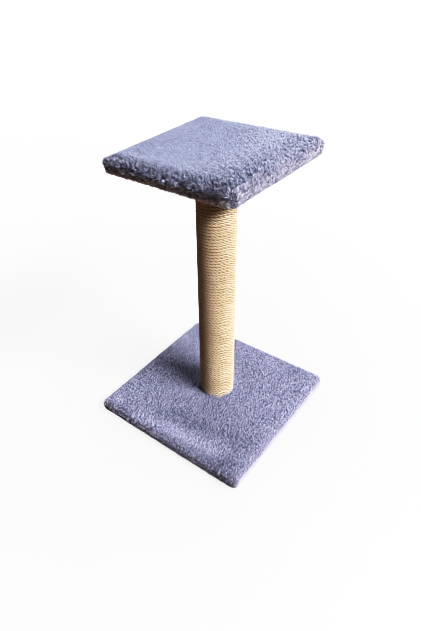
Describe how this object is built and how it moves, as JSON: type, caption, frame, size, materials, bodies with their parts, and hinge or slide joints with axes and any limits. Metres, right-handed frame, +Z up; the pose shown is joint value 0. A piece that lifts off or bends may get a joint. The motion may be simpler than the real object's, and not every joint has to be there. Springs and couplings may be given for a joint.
{
  "type": "cat scratching post",
  "caption": "Free-standing cat scratching post: a sisal-wound round post between a plush-covered square base and a smaller plush-covered square perch.",
  "frame": {"origin": "centre of the base's underside, on the floor", "axes": "+Z up along the post; X and Y along the base's sides; the corner nearest the eye in the picture is at +X, -Y"},
  "size_m": [0.35, 0.35, 0.5553],
  "materials": {
    "plush": "matte",
    "sisal": "matte",
    "particle_board": "matte",
    "plug_wood": "matte",
    "tube_card": "matte",
    "foam": "matte",
    "zinc_steel": "satin",
    "staple_wire": "satin"
  },
  "bodies": {
    "root": {"base_board": "particle_board", "base_bolt": "zinc_steel", "base_cover_staples": "staple_wire", "base_plush_cover": "plush", "base_washer": "zinc_steel", "lower_plug": "plug_wood", "lower_plug_nails": "zinc_steel", "lower_tee_nut": "zinc_steel", "post_tube": "tube_card", "rope_end_staples": "staple_wire", "sisal_rope": "sisal", "top_board": "particle_board", "top_bolt": "zinc_steel", "top_cover_staples": "staple_wire", "top_padding": "foam", "top_plush_cover": "plush", "top_washer": "zinc_steel", "upper_plug": "plug_wood", "upper_plug_nails": "zinc_steel", "upper_tee_nut": "zinc_steel"}
  },
  "joints": []
}
